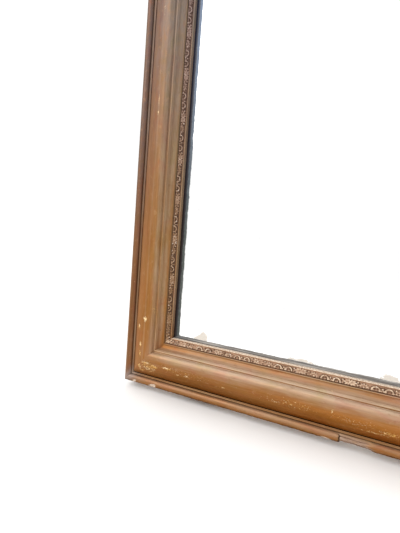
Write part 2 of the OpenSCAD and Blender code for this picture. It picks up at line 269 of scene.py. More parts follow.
def chipped(ring, chips, seed):
    """Depth lost at each ring and section point, and how bare the gesso is there."""
    depth = np.zeros((len(ring), len(SECTION.length)))
    for k, (a, u, d, half_a, half_s, deep) in enumerate(chips):
        da = (ring - a) / half_a
        ds = (SECTION.length - SECTION.across((u, d))) / half_s
        edge = 1 + 0.35 * rough(ring / 3.1, SECTION.length / 2.6, seed + k)
        depth = np.maximum(depth, deep * (1 - smooth(np.hypot(da, ds), 0.55 * edge, edge)))
    return depth, smooth(depth, 0.12, 0.4)


# ---- mesh building


def new_object(name, points, faces, body, slot, *materials):
    """A smooth-shaded mesh object that rides on a body, from world points in metres."""
    mesh = bpy.data.meshes.new(name)
    mesh.from_pydata(np.asarray(points).tolist(), [], faces)
    mesh.shade_smooth()
    mesh.set_sharp_from_angle(angle=math.radians(42))
    piece = bpy.data.objects.new(name, mesh)
    bpy.context.scene.collection.objects.link(piece)
    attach(piece, body)
    for material in materials:
        mesh.materials.append(material)
    return piece


def add_values(piece, **values):
    """Under each name, one number for each point of the mesh."""
    for name, numbers in values.items():
        layer = piece.data.attributes.new(name, "FLOAT", "POINT")
        layer.data.foreach_set("value", np.ascontiguousarray(numbers, dtype=np.float32).ravel())


def add_place(piece, *axes):
    """One vector for each point of the mesh, in metres, that its material reads as its place."""
    layer = piece.data.attributes.new("place", "FLOAT_VECTOR", "POINT")
    layer.data.foreach_set("vector", np.stack(axes, -1).astype(np.float32).ravel())


def tube_faces(rings, count):
    """Quads of a closed tube of rings, with an end face at each end."""
    k, i = np.meshgrid(np.arange(rings - 1), np.arange(count), indexing="ij")
    k, i = k.ravel(), i.ravel()
    j = (i + 1) % count
    quads = np.stack([k * count + i, k * count + j, (k + 1) * count + j, (k + 1) * count + i], 1)
    last = (rings - 1) * count
    caps = [list(range(count - 1, -1, -1)), [last + n for n in range(count)]]
    return quads.tolist() + caps


# Millimetres from a mitre at which a moulding has its first rings.
MITRE_RINGS = (0, 0.7, 1.5)


def ring_shares(length, pitch, busy):
    """Shares of a length where rings stand: at the mitres, every pitch, and closer in busy stretches."""
    places = list(MITRE_RINGS)
    here = places[-1]
    while here < length - MITRE_RINGS[-1] - pitch:
        step = pitch
        for low, high, close in busy:
            if low - pitch < here < high:
                step = min(step, close)
        here += step
        places.append(here)
    places += [length - place for place in reversed(MITRE_RINGS)]
    return np.array(places) / length


# Each length's start, its direction, and the direction in which u runs, in the upright frame.
HALF_W = FRAME_W / 2
PLACES = {
    "bottom": ((-HALF_W, 0), (1, 0), (0, 1)),
    "top": ((HALF_W, FRAME_H), (-1, 0), (0, -1)),
    "left": ((-HALF_W, FRAME_H), (0, -1), (1, 0)),
    "right": ((HALF_W, 0), (0, 1), (-1, 0)),
}
UPRIGHT = ("left", "right")


def lay(side, along, u, d):
    """World points of (along, u, d) on one length of the moulding."""
    start, way, inward = PLACES[side]
    x = start[0] + along * way[0] + u * inward[0]
    z = start[1] + along * way[1] + u * inward[1]
    return to_world(np.stack([x, -d, z], -1).reshape(-1, 3) * MM)


def height_at(side, along):
    """Millimetres above the frame's lower edge."""
    return {"bottom": 0 * along, "top": 0 * along + FRAME_H, "left": FRAME_H - along, "right": along}[side]


# ---- moulding

# Usual distance between rings, and the most rings that a long piece gets at an even distance.
RING_PITCH, RINGS_MOST = 4.3, 306

# How far the paint of the sight lip is rubbed away to pale gesso; on the bottom rail, whose lip faces up,
# this is also painted light.
LIP_WEAR = {"bottom": 1.0, "top": 0.1, "left": 0.05, "right": 0.05}

# Centres of worn patches, and on the left stile of pale streaks painted as highlights along the torus:
# distance from the lower left corner, u, half length, half width, strength.
RAIL_PATCHES = [
    (49, 46, 5, 13, 1.15), (53, 36, 7, 3, 1.15), (66, 55, 13, 3, 1.2), (84, 51, 11, 4.5, 1.2),
    (70, 46, 26, 14, 0.9), (113, 54, 14, 2.5, 1.3), (136, 47, 6, 2, 1.15), (156, 48, 6, 2, 1.15),
    (226, 46, 7, 2, 1.05), (319, 46, 9, 2, 1.05), (150, 52, 80, 12, 0.6), (345, 50, 70, 12, 0.6),
    (370, 72, 1.5, 1.2, 2.0), (402, 83, 1.5, 1.2, 2.0), (362, 53, 1.8, 6, 1.2), (408, 56, 1.6, 5, 1.2),
    (488, 43, 22, 5, 0.95), (470, 38, 40, 2.5, 0.9), (440, 48, 60, 10, 0.6),
]
STILE_PATCHES = [
    (71, 51, 6, 4, 1.2), (88, 50, 7, 4, 1.25), (120, 43, 6, 4, 1.3), (138, 59, 6, 5, 1.45),
    # The streaks at u 58 and 59 are pale highlights painted along the torus.
    (156, 75, 10, 2.5, 0.9), (516, 58, 8, 1.8, 1.1), (538, 58, 14, 1.3, 1.2), (588, 59, 9, 1.6, 0.9),
    (694, 58, 13, 1.6, 1.0), (300, 58, 160, 5, 0.25), (620, 58, 200, 5, 0.3),
]


def worn_zone(side, along):
    """Where small chips of the paint cluster, and where pale highlight streaks are painted on the left stile.
    """
    patches = {"bottom": RAIL_PATCHES, "left": STILE_PATCHES}.get(side, STILE_PATCHES[:2])
    place = FRAME_H - along if side == "left" else along
    zone = 0 * along
    for a, u, half_a, half_u, strength in patches:
        away = np.hypot((place - a) / half_a, (SECTION.u - u) / half_u)
        zone = np.maximum(zone, strength * bell(away, 1))
    return zone


def faded(side, from_mitre):
    """How pale dust and painted light make the paint: most where a rail's surface faces up, painted pale as
    lit from above, least where it faces down, painted dark as in shade; a stile's inward-facing side is
    painted lighter and its bead and groove darker.
    """
    u, inward = SECTION.u, SECTION.normals[:, 0]
    if side in UPRIGHT:
        # On a stile the inward-facing side is painted lighter as lit, and the bead and groove darker as
        # shaded.
        pale = 0.42 + 0.22 * smooth(inward, 0.0, 0.8) - 0.25 * (1 - smooth(u, 24, 31)) + 0.2 * (u > 92)
        pale += 0.12 * smooth(u, 62, 70) * (u < 92)
    else:
        # A rail's upward-facing surface is painted pale as lit from above, a downward-facing one dark as in
        # shade; dust adds to it.
        pale = smooth(inward if side == "bottom" else -inward, -0.92, 0.42) * SECTION.open
    # Dust greys the bead near a mitre.
    dusty = 0.7 * bell(from_mitre, 9) * (u < 24)
    # Near a mitre the painted light is blended towards an even value.
    return pale + (0.62 * SECTION.open - pale) * (0.6 * bell(from_mitre, 34)) + dusty


def moulding_shape(side, ring, length, chips, seed):
    """Millimetres that each point stands out, and how far gesso, core and a crack show there."""
    lost, bare = chipped(ring, chips, seed)
    core, crack = 0 * bare, 0 * bare
    if side == "bottom":
        gone, core, crack = bead_loss(ring, SECTION.length)
        core, crack = core * SECTION.bead, crack * SECTION.bead
        ragged = 1 + 0.30 * rough(ring / 5.5, SECTION.length / 3.2, seed + 21)
        nibbled = smooth(rough(ring / 7, SECTION.length / 9, seed + 5), -0.1, 0.35)
        lost = np.maximum(lost, gone * ragged * SECTION.bead) + 1.0 * crack
        lost = lost + 1.1 * bell(SECTION.length - SECTION.across(BEAD_EDGE), 2.6) * nibbled
    wave = 0.10 * ripple(ring / 95, SECTION.length / 60, seed)
    wave = wave + 0.05 * ripple(ring / 22, SECTION.length / 14, seed + 9)
    notch = 0.16 * (1 - smooth(np.minimum(ring, length - ring), 0.0, 1.4))
    return (wave - notch) * SECTION.painted - lost, bare, core, crack


def age_moulding(piece, side, along, length, bare, core, crack):
    """Gives each point what the bronze paint reads: dirt and painted shade, rubbing and painted highlights,
    bare gesso, dust and painted light, chips and tints.
    """
    u, upright = SECTION.u, side in UPRIGHT
    from_mitre = np.minimum(along - u, length - u - along)
    height = height_at(side, along)
    hollow, rub = np.maximum(SECTION.hollow, crack), SECTION.rub + 0 * along
    if upright:
        on_fillet = SECTION.near(FILLET_TOP, 1.5)
        # On a stile the groove is darkened, and the fillet's top is painted dark as a shadow line beside the
        # ornament.
        hollow = np.maximum(np.maximum(hollow, SECTION.near(GROOVE_FLOOR, 2.7)), 0.75 * on_fillet)
        # On a stile a pale highlight line is painted along the torus's crest, and the fillet's top is not
        # rubbed.
        rub = np.clip(rub + 0.45 * SECTION.near(TORUS_CREST, 1.7) - 0.6 * on_fillet, 0, 1)
    cool = upright * (0.35 + 0.6 * smooth(height, 200, 560))
    cool = np.maximum(cool, 0.8 * bell(from_mitre, 26)) * (u < 21)
    olive = (1 - bell(from_mitre, 90)) * upright * smooth(u, 48, 70)
    torus_low = smooth(u, 20, 26) * (1 - smooth(u, 52, 66))
    add_values(
        # The bottom rail's sight lip is painted pale as gesso, partly worn and partly painted light.
        piece, hollow=hollow, rub=rub, core=core, gesso=np.maximum(bare, SECTION.lip * LIP_WEAR[side]),
        # The paleness value carries painted light and shade by facing, with dust.
        fade=faded(side, from_mitre), worn=worn_zone(side, along),
        tone=np.maximum(smooth(height, 160, 860), cool), olive=olive,
        warm=(side == "bottom") * torus_low * smooth(along, 230, 480))


def moulding(name, side, length, chips, busy, materials, seed):
    """One mitred length of moulding, with its own waviness, chips and, on the bottom, a broken bead."""
    shares = ring_shares(length, max(RING_PITCH, length / RINGS_MOST), busy)[:, None]
    along = SECTION.u + (length - 2 * SECTION.u) * shares
    shift, *shown = moulding_shape(side, shares * length, length, chips, seed)
    u, d = SECTION.u + shift * SECTION.normals[:, 0], SECTION.d + shift * SECTION.normals[:, 1]
    points, faces = lay(side, along, u, d), tube_faces(*along.shape)
    piece = new_object(f"{name}_surface", points, faces, "frame", "bronze_moulding", *materials)
    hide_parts(name)
    behind = np.tile(~(SECTION.painted & np.roll(SECTION.painted, -1)), len(shares) - 1)
    piece.data.polygons.foreach_set("material_index", np.append(behind, [True, True]).astype(np.int32))
    add_place(piece, along * MM, (SECTION.length + 0 * along) * MM, (seed * 37 + 0 * along) * MM)
    age_moulding(piece, side, along, length, *shown)


# ---- ornament

REPEAT = 73.6
BAND_W = math.dist(FIELD_TOP, FIELD_LOW)
BAND_SLOPE = (FIELD_LOW[0] - FIELD_TOP[0]) / BAND_W, (FIELD_LOW[1] - FIELD_TOP[1]) / BAND_W
BAND_NORMAL = -BAND_SLOPE[1], BAND_SLOPE[0]

# Distance between rings, points across, how deep the closed underside lies, and each motif's raised ground.
RELIEF_PITCH, RELIEF_COLUMNS, SUNK, GROUND = 0.55, 25, 0.5, 0.45


def turned(x, v, turn):
    """The same offsets along and across an axis that is turned by an angle in degrees."""
    t = math.radians(turn)
    return x * math.cos(t) + v * math.sin(t), -x * math.sin(t) + v * math.cos(t)


def dome(x, v, cx, cv, half_x, half_v, turn=0.0, top=1.5, power=0.5):
    """Height of a rounded lobe."""
    a, b = turned(x - cx, v - cv, turn)
    return top * np.clip(1 - (a / half_x) ** 2 - (b / half_v) ** 2, 0, 1) ** power


def lobe(x, v, cx, cv, half_x, half_v, turn, top):
    """A leaf lobe: a dome with a vein pressed along it."""
    body = dome(x, v, cx, cv, half_x, half_v, turn, top, 0.6)
    return body - 0.5 * bell(turned(x - cx, v - cv, turn)[1], 0.34) * smooth(body, 0.2, 1.0)


def highest(*shapes):
    return np.maximum.reduce(shapes)


def scroll_arch(x, v, width):
    """An arch of cord that opens towards the outer edge, with a curled foot each side and a drop inside."""
    foot, half = 1.7, width / 2 - 1.3
    rise = 6.3 - foot
    away = (np.hypot(x / half, (v - foot) / rise) - 1) * min(half, rise)
    shapes = [2.4 * np.sqrt(np.clip(1 - (away / 1.25) ** 2, 0, 1)) * (v > foot - 1.0)]
    for side in (-half, half):
        eye = 0.9 * np.exp(-((x - side) ** 2 + (v - foot) ** 2) / 0.35)
        shapes.append(dome(x, v, side, foot, 1.8, 1.6, top=2.5) - eye)
    return highest(*shapes, dome(x, v, 0, foot - 0.4, 1.5, 1.5, top=1.2))


def pearls(x, v):
    """Three pearls and a leaf tip between two arches."""
    return highest(dome(x, v, -1.7, 1.8, 1.4, 1.5, top=2.2), dome(x, v, 1.7, 1.8, 1.4, 1.5, top=2.2),
                   dome(x, v, 0, 4.6, 1.6, 1.8, top=2.1), dome(x, v, 0, 7.4, 2.4, 0.9, top=1.2))


# Leaves on each side of a rosette: how far out, turned by how many degrees, half length.
LEAVES = ((4.0, 62, 3.2), (4.2, -62, 3.2), (6.0, 30, 4.2), (6.0, -30, 4.2), (7.6, 0, 4.8))


def leaf_rosette(x, v):
    """Veined leaves to both sides of a boss, each ending in two berries."""
    shapes = [dome(x, v, 0, 4.6, 2.3, 2.3, top=2.6)]
    for side in (-1, 1):
        for reach, turn, half in LEAVES:
            t = math.radians(turn)
            cx, cv = side * reach * math.cos(t), 4.6 + reach * math.sin(t) * 0.72
            shapes.append(lobe(x, v, cx, cv, half, 1.75, side * turn, 2.0))
        shapes.append(dome(x, v, side * 11.2, 2.3, 1.7, 1.6, top=1.9))
        shapes.append(dome(x, v, side * 11.4, 6.6, 1.8, 1.7, top=2.0))
    return highest(*shapes)


def petals(x, v):
    """A flower seen from the side: long veined petals fanning from a pearl at the outer edge."""
    shapes = [dome(x, v, 0, 1.9, 1.9, 1.7, top=2.2)]
    for turn in (12, 50, 90, 130, 168):
        t = math.radians(turn)
        reach = 4.2 - 0.5 * abs(math.sin(t))
        shapes.append(lobe(x, v, 1.3 * reach * math.cos(t), 2.2 + reach * math.sin(t), 3.0, 1.65, turn, 1.9))
    return highest(*shapes)


# One repeat: place of each motif's middle, half its length, the motif and its own sizes.
MOTIFS = [
    (0.0, 8, scroll_arch, [13]), (9.0, 4, pearls, []), (17.6, 8, scroll_arch, [12.4]),
    (37.6, 13, leaf_rosette, []), (57.6, 8, petals, []),
]


def corner_leaf(x, v):
    """Half of the leaf that covers a mitre; x runs from the mitre at the band's outer edge."""
    return highest(lobe(x, v, 4.0, 4.6, 6.2, 2.6, 48, 2.7), lobe(x, v, 8.4, 3.4, 4.8, 2.1, 22, 2.3),
                   lobe(x, v, 11.6, 6.8, 4.0, 1.9, 50, 2.2), lobe(x, v, 14.0, 2.6, 3.2, 1.9, 0, 2.0),
                   dome(x, v, 16.8, 5.6, 2.4, 2.4, top=2.2))


def rows_between(along, low, high):
    return slice(*np.searchsorted(along[:, 0], (low, high)))


def filling(along, v, seed):
    """Small berries and leaf tips crowded over the whole field, in millimetres of height."""
    chance = np.random.default_rng(seed)
    height = 0.5 + 0.18 * rough(along / 1.5, v / 1.5, seed + 3)
    here = along.min() + 1
    while here < along.max():
        for row, most in ((1.7, 1.9), (4.6, 1.1), (7.4, 0.5)):
            cx, cv = here + chance.uniform(-0.9, 0.9), row + chance.uniform(-0.5, 0.5)
            half, turn, top = chance.uniform(1.2, 1.8), chance.uniform(-40, 40), most * chance.uniform(0.5, 1)
            rows = rows_between(along, cx - 10, cx + 4)
            lump = dome(along[rows], v[rows], cx, cv, half, half * 0.8, turn, top)
            height[rows] = np.maximum(height[rows], lump + 0.4 * (lump > 0))
        here += 3.6
    return height


def beside(height):
    """How much lower a spot lies than the highest relief within about a millimetre of it."""
    top = height
    for axis in (0, 1):
        top = np.maximum.reduce([np.roll(top, step, axis) for step in (-2, -1, 0, 1, 2)])
    return top - height


def relief(along, v, length, phase, seed):
    """Height of the ornament over its field, in millimetres."""
    chance = np.random.default_rng(seed)
    height = filling(along, v, seed)
    free_from, free_to = FIELD_TOP[0] + 15, length - FIELD_TOP[0] - 15
    first = math.floor((free_from - phase) / REPEAT) - 1
    for n in range(first, math.ceil(length / REPEAT) + 1):
        for offset, reach, motif, sizes in MOTIFS:
            centre = phase + n * REPEAT + offset + chance.uniform(-0.7, 0.7)
            grow, wear = chance.uniform(0.93, 1.05), chance.uniform(0.8, 1.05)
            if not free_from + reach < centre < free_to - reach:
                continue
            rows = rows_between(along, centre - reach - 12, centre + reach + 12)
            shape = motif((along[rows] - centre) / grow, v[rows], *sizes) * wear
            height[rows] = np.maximum(height[rows], shape + GROUND * (shape > 0))
    for x in (along - FIELD_TOP[0], length - FIELD_TOP[0] - along):
        leaf = corner_leaf(x, v)
        height = np.maximum(height, leaf + GROUND * (leaf > 0))
    return height + 0.08 * rough(along / 0.8, v / 0.8, seed + 5)


def ornament(name, side, length, phase, material, seed):
    """One strip of compo ornament in relief, closed underneath by two more lines of points."""
    shares = np.linspace(0, 1, int((length - 2 * FACE_W) / RELIEF_PITCH))[:, None]
    v = np.linspace(0, BAND_W, RELIEF_COLUMNS)
    u_line, d_line = FIELD_TOP[0] + v * BAND_SLOPE[0], FIELD_TOP[1] + v * BAND_SLOPE[1]
    along = u_line + (length - 2 * u_line) * shares
    height = relief(along, v + 0 * along, length, phase, seed)
    # Painted shade: dark in the crevices beside the relief, as a shadow line along the band's outer edge, and
    # on the stiles over the whole low ground.
    crevice = smooth(beside(height), 0.7, 1.4) * (1 - smooth(height, 0.9, 1.4))
    crevice = np.maximum(crevice, 0.6 * (1 - smooth(v + 0.5 * height, 0.8, 1.6)))
    if side in UPRIGHT:
        crevice = np.maximum(crevice, 0.8 * (1 - smooth(height, 0.75, 1.25)))
    rub = smooth(height, 1.4, 2.2)
    height = height * smooth(np.minimum(v, BAND_W - v), -0.4, 0.8)
    under = (0, 0), (0, 2)
    height = np.pad(height, under, constant_values=-SUNK)
    columns = [*range(RELIEF_COLUMNS), -1, 0]
    along = along[:, columns]
    u, d = u_line[columns] + height * BAND_NORMAL[0], d_line[columns] + height * BAND_NORMAL[1]
    points, faces = lay(side, along, u, d), tube_faces(*along.shape)
    piece = new_object(f"{name}_relief", points, faces, "frame", "compo_ornament", material)
    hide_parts(name)
    add_place(piece, along * MM, u * MM, (0 * u + seed * 31) * MM)
    add_values(piece, hollow=np.pad(crevice, under, constant_values=1), rub=np.pad(rub, under),
               tone=smooth(height_at(side, along), 160, 860), fade=0 * along + (side not in UPRIGHT))


# ---- materials


class Nodes:
    """The node tree of a material or a world, with one short call for each kind of node."""

    def __init__(self, owner):
        owner.use_nodes = True
        self.tree = owner.node_tree

    def put(self, socket, value):
        """Links value into a socket, or sets it there if it's a number or a colour."""
        if isinstance(value, bpy.types.NodeSocket):
            self.tree.links.new(value, socket)
        elif socket.type == "RGBA":
            socket.default_value = (*value, 1)
        else:
            socket.default_value = value

    def node(self, kind, inputs, output=0, **settings):
        """One output of a new node, from its inputs and its settings."""
        made = self.tree.nodes.new(kind)
        for key, value in settings.items():
            setattr(made, key, value)
        for key, value in inputs.items():
            self.put(made.inputs[key], value)
        return made.outputs[output]

    def value(self, name):
        return self.node("ShaderNodeAttribute", {}, "Fac", attribute_name=name)

    def vector(self, name):
        return self.node("ShaderNodeAttribute", {}, "Vector", attribute_name=name)

    def object_place(self):
        return self.node("ShaderNodeTexCoord", {}, "Object")

    def stretch(self, vector, scale, turn=(0, 0, 0), shift=(0, 0, 0)):
        inputs = {"Vector": vector, "Scale": scale, "Rotation": turn, "Location": shift}
        return self.node("ShaderNodeMapping", inputs)

    def noise(self, vector, scale, detail, roughness, distortion=0.0, shift=(0, 0, 0)):
        """Noise with one scale, or with one scale for each axis."""
        if isinstance(scale, tuple):
            vector, scale = self.stretch(vector, scale, shift=shift), 1
        return self.node("ShaderNodeTexNoise", {"Vector": vector, "Scale": scale, "Detail": detail,
                                                "Roughness": roughness, "Distortion": distortion})

    def cells(self, vector, scale):
        return self.node("ShaderNodeTexVoronoi", {"Vector": vector, "Scale": scale})

    def math(self, operation, a, b=0.0):
        return self.node("ShaderNodeMath", {0: a, 1: b}, operation=operation)

    def plus(self, a, b):
        return self.math("ADD", a, b)

    def minus(self, a, b):
        return self.math("SUBTRACT", a, b)

    def times(self, a, b):
        return self.math("MULTIPLY", a, b)

    def most(self, a, b):
        return self.math("MAXIMUM", a, b)

    def step(self, value, low, high, out_low=0.0, out_high=1.0):
        """A smooth step between two numbers, from low to high."""
        inputs = {"Value": value, "From Min": low, "From Max": high, "To Min": out_low, "To Max": out_high}
        return self.node("ShaderNodeMapRange", inputs, interpolation_type="SMOOTHSTEP")

    def mix(self, share, a, b, blend="MIX"):
        return self.node("ShaderNodeMix", {0: share, 6: a, 7: b}, 2, data_type="RGBA", blend_type=blend)

    def bump(self, height, strength, distance, under=None):
        inputs = {"Height": height, "Strength": strength, "Distance": distance}
        if under is not None:
            inputs["Normal"] = under
        return self.node("ShaderNodeBump", inputs)


class Shader(Nodes):
    """A material under construction: its surface, and the base colour laid on so far."""

    def __init__(self, name, **fixed):
        self.material = bpy.data.materials.new(name)
        super().__init__(self.material)
        self.surface = self.tree.nodes["Principled BSDF"]
        self.body = None
        self.set(**fixed)

    def set(self, **sockets):
        for socket, value in sockets.items():
            self.put(self.surface.inputs[socket.replace("_", " ")], value)

    def coat(self, share, colour, blend="MIX"):
        """Lays a colour over the one that the surface has so far."""
        self.body = self.mix(share, self.body, colour, blend)

    def finish(self, **sockets):
        self.set(Base_Color=self.body, **sockets)
        return self.material


def aged_bronze(s, age, tone, blot):
    """The paint's colour from dark, for painted shade, to pale, for painted light and dust, with random tone;
    cooler where tone is high.
    """
    # The darkest colour is painted shade, the palest painted light and dust.
    warm = s.mix(s.step(age, -0.1, 0.5), (0.190, 0.064, 0.004), (0.300, 0.124, 0.034))
    warm = s.mix(s.step(age, 0.45, 1.05), warm, (0.41, 0.262, 0.165))
    warm = s.mix(s.step(age, 1.0, 1.45), warm, (0.52, 0.385, 0.275))
    cool = s.mix(s.step(age, 0.1, 0.8), (0.125, 0.087, 0.076), (0.226, 0.178, 0.173))
    s.body = s.mix(s.times(tone, s.step(blot, 0.3, 0.6, 0.7, 1.0)), warm, cool)
    s.coat(s.step(blot, 0.56, 0.74, 0, 0.3), (0.20, 0.085, 0.030))


def tint(s, place):
    """Pink, olive and warm casts, dark brush strokes and spots worn thin."""
    pink = s.noise(place, (22, 34, 1), 4, 0.65, 0.8, shift=(7, 2, 0))
    brushed = s.noise(place, (16, 420, 1), 3, 0.6, shift=(0, 5, 0))
    worn_thin = s.noise(place, (95, 150, 1), 4, 0.7, 0.5, shift=(1, 9, 0))
    s.coat(s.step(pink, 0.50, 0.68, 0, 0.6), (1.0, 0.82, 0.88), "MULTIPLY")
    s.coat(s.step(pink, 0.48, 0.32, 0, 0.5), (0.88, 0.93, 0.70), "MULTIPLY")
    s.coat(s.value("olive"), (0.98, 1.06, 1.0), "MULTIPLY")
    s.coat(s.value("warm"), (1.26, 1.16, 0.88), "MULTIPLY")
    s.coat(s.step(brushed, 0.40, 0.66, 0.3, 0), (0.55, 0.50, 0.45), "MULTIPLY")
    s.coat(s.step(worn_thin, 0.56, 0.74, 0, 0.35), (0.44, 0.27, 0.14))


def rub_and_soil(s, place, tone, streak, cloud, blot):
    """Rubbed edges and painted highlights, dirt and painted shade in the hollows, and a few dark spots."""
    rub = s.times(s.value("rub"), s.step(streak, 0.35, 0.7, 0.35, 1.0))
    s.coat(s.times(rub, 0.6), s.mix(tone, (0.43, 0.30, 0.18), (0.33, 0.25, 0.205)))
    # Painted shade and dirt in the hollows.
    hollow = s.times(s.value("hollow"), s.step(cloud, 0.25, 0.55, 0.75, 1.0))
    s.coat(hollow, (0.056, 0.030, 0.009))
    spots = s.step(s.cells(s.stretch(place, (55, 55, 1)), 1), 0.0, 0.09, 1, 0)
    spots = s.times(spots, s.step(blot, 0.52, 0.6))
    s.coat(s.times(spots, 0.7), (0.07, 0.03, 0.015))


def bare_core(s, place, flakes, blot):
    """Splintered, stained core where the bead's shell is gone."""
    splinter = s.noise(place, (30, 330, 1), 4, 0.65, 0.4, shift=(2, 2, 0))
    heart = s.mix(s.step(splinter, 0.34, 0.66), (0.16, 0.088, 0.052), (0.43, 0.30, 0.225))
    heart = s.mix(s.step(flakes, 0.62, 0.70), heart, (0.62, 0.46, 0.28))
    # Painted shade and dirt darken the core in the crack.
    heart = s.mix(s.value("hollow"), heart, (0.05, 0.022, 0.008))
    s.coat(s.times(s.value("core"), s.step(blot, 0.30, 0.42, 0.55, 1.0)), heart)


def bronze():
    """Old bronze paint over gesso: satin, streaked along the length, chipped, painted pale where lit and
    dusty and dark where shaded, with dirt and painted shade in the hollows and painted highlights on the
    crests.
    """
    s = Shader("bronze_paint", Specular_IOR_Level=0.25, Specular_Tint=(1.0, 0.72, 0.5))
    place, tone, fade = s.vector("place"), s.value("tone"), s.value("fade")
    streak = s.noise(place, (9, 150, 1), 5, 0.6)
    cloud = s.noise(place, (14, 40, 1), 5, 0.6, 0.6)
    blot = s.noise(place, (60, 110, 1), 4, 0.6, 0.4)
    flakes = s.noise(place, (380, 520, 1), 4, 0.72, 0.4)
    # Painted light and shade by facing, with dust, plus random tone.
    age = s.plus(fade, s.times(s.minus(s.plus(cloud, streak), 1.0), 0.55))
    aged_bronze(s, age, tone, blot)
    tint(s, place)
    rub_and_soil(s, place, tone, streak, cloud, blot)
    nicks = s.step(s.noise(place, (330, 420, 1), 2, 0.5, shift=(3, 1, 0)), 0.775, 0.80)
    # Chips also carry the left stile's painted highlight streaks.
    chip = s.most(s.step(s.plus(flakes, s.times(s.value("worn"), 0.27)), 0.735, 0.785), nicks)
    golden = s.mix(s.step(blot, 0.4, 0.62), (0.68, 0.38, 0.10), (0.80, 0.60, 0.34))
    s.coat(chip, s.mix(tone, golden, (0.72, 0.60, 0.46)))
    bare_core(s, place, flakes, blot)
    gesso = s.value("gesso")
    s.coat(gesso, s.mix(s.step(flakes, 0.40, 0.60), (0.44, 0.32, 0.24), (0.82, 0.70, 0.57)))
    unpainted = s.most(s.most(chip, gesso), s.value("core"))
    shine = s.plus(s.step(cloud, 0.3, 0.7, 0.36, 0.50), s.times(s.value("hollow"), 0.3))
    metallic = s.times(s.minus(1.0, unpainted), s.step(fade, 0.0, 1.0, 0.70, 0.35))
    speck = s.noise(place, (900, 900, 1), 2, 0.6)
    grain = s.bump(s.plus(speck, s.times(streak, 2.0)), 0.25, 0.00018)
    shine = s.most(shine, s.times(unpainted, 0.85))
    return s.finish(Roughness=shine, Metallic=metallic, Normal=s.bump(chip, 0.6, 0.0005, grain))


def compo():
    """The same paint on the cast ornament: pale where it's rubbed, with painted glints, and dark with painted
    shade and dirt in the crevices; paler on the rails, for dust and painted light.
    """
    s = Shader("compo_paint", Specular_IOR_Level=0.3)
    place, tone, fade = s.vector("place"), s.value("tone"), s.value("fade")
    cloud = s.noise(place, (60, 120, 1), 4, 0.6)
    blot = s.noise(place, (190, 260, 1), 3, 0.6)
    speck = s.noise(place, (1200, 1200, 1), 2, 0.6)
    light = s.step(cloud, 0.35, 0.65)
    warm = s.mix(light, (0.17, 0.086, 0.034), (0.25, 0.132, 0.060))
    cool = s.mix(light, (0.135, 0.082, 0.070), (0.195, 0.128, 0.112))
    dusty = s.mix(light, (0.22, 0.115, 0.064), (0.33, 0.185, 0.112))
    # The rails' ornament takes the paler colours, for dust and painted light.
    s.body = s.mix(fade, s.mix(tone, warm, cool), dusty)
    bright = s.mix(fade, s.mix(tone, (0.34, 0.215, 0.130), (0.285, 0.200, 0.190)), (0.62, 0.46, 0.32))
    s.coat(s.times(s.value("rub"), s.step(blot, 0.36, 0.6, 0.12, 1.0)), bright)
    s.coat(s.step(blot, 0.62, 0.72, 0, 0.5), bright)
    glint = s.step(s.noise(place, (420, 420, 1), 2, 0.5), 0.62, 0.68, 0, 0.9)
    s.coat(s.times(glint, s.value("rub")), (0.74, 0.64, 0.56))
    # Painted shade and dirt in the crevices.
    dirt = s.mix(fade, (0.045, 0.020, 0.013), (0.060, 0.028, 0.013))
    s.coat(s.times(s.value("hollow"), 0.88), dirt)
    shine = s.plus(s.step(cloud, 0.3, 0.7, 0.42, 0.55), s.times(s.value("hollow"), 0.3))
    return s.finish(Roughness=shine, Metallic=0.2, Normal=s.bump(speck, 0.3, 0.00015))


def frame_place(s):
    """Position in the frame's own upright axes, in metres, at rest."""
    shift = -(LEAN_TURN.transposed() @ ORIGIN)
    return s.stretch(s.object_place(), (1, 1, 1), (LEAN, 0, 0), tuple(shift))


def strut_place(s):
    """Position in the open strut's own axes, in metres, at rest."""
    shift = -(STRUT_TURN.transposed() @ HINGE)
    return s.stretch(s.object_place(), (1, 1, 1), (-STRUT_OPEN, 0, 0), tuple(shift))


# Width in metres of the dark strip beside a stile and beside a rail, painted as the reflection of the frame's
# dark sight wall.
STILE_MARGIN, RAIL_MARGIN = 0.0122, 0.0066
# Pale patches at the foot of the glass, painted as reflections of the surroundings, in millimetres: distance
# from the left corner, height, half sizes.
CLOUDS = [(165, 114, 15, 10), (348, 110, 26, 6), (482, 111, 15, 9)]


def inside(s, place, size):
    """Distance in metres inward from both ends of a size in millimetres that is centred on place."""
    return s.minus(size / 2 * MM, s.math("ABSOLUTE", place))


def glass_margin(s, place, x, ragged, high, on_end):
    """The strip beside the sight edge, painted as the reflection of the dark sight wall and the surroundings:
    black and bluish beside the stiles, grey and striped beside the rails.
    """
    # Black as the reflected dark sight wall, bluish higher up as reflected surroundings.
    black = s.mix(high, (0.008, 0.005, 0.007), (0.003, 0.008, 0.030))
    pale = s.mix(high, (0.044, 0.052, 0.045), (0.070, 0.115, 0.20))
    by_side = s.mix(s.step(ragged, 0.50, 0.60), black, pale)
    speck = s.step(s.noise(place, 900, 2, 0.5), 0.62, 0.70, 0, 0.5)
    by_side = s.mix(s.times(speck, s.step(ragged, 0.3, 0.7)), by_side, (0.35, 0.38, 0.42))
    stripes = s.noise(place, (14, 14, 620), 3, 0.5)
    by_end = s.mix(s.step(stripes, 0.38, 0.62), (0.105, 0.095, 0.088), (0.34, 0.325, 0.305))
    from_corner = s.step(inside(s, x, FRAME_W), 0.115, 0.185, 0.8, 0.0)
    return s.mix(on_end, by_side, s.mix(from_corner, by_end, (0.055, 0.056, 0.062)))


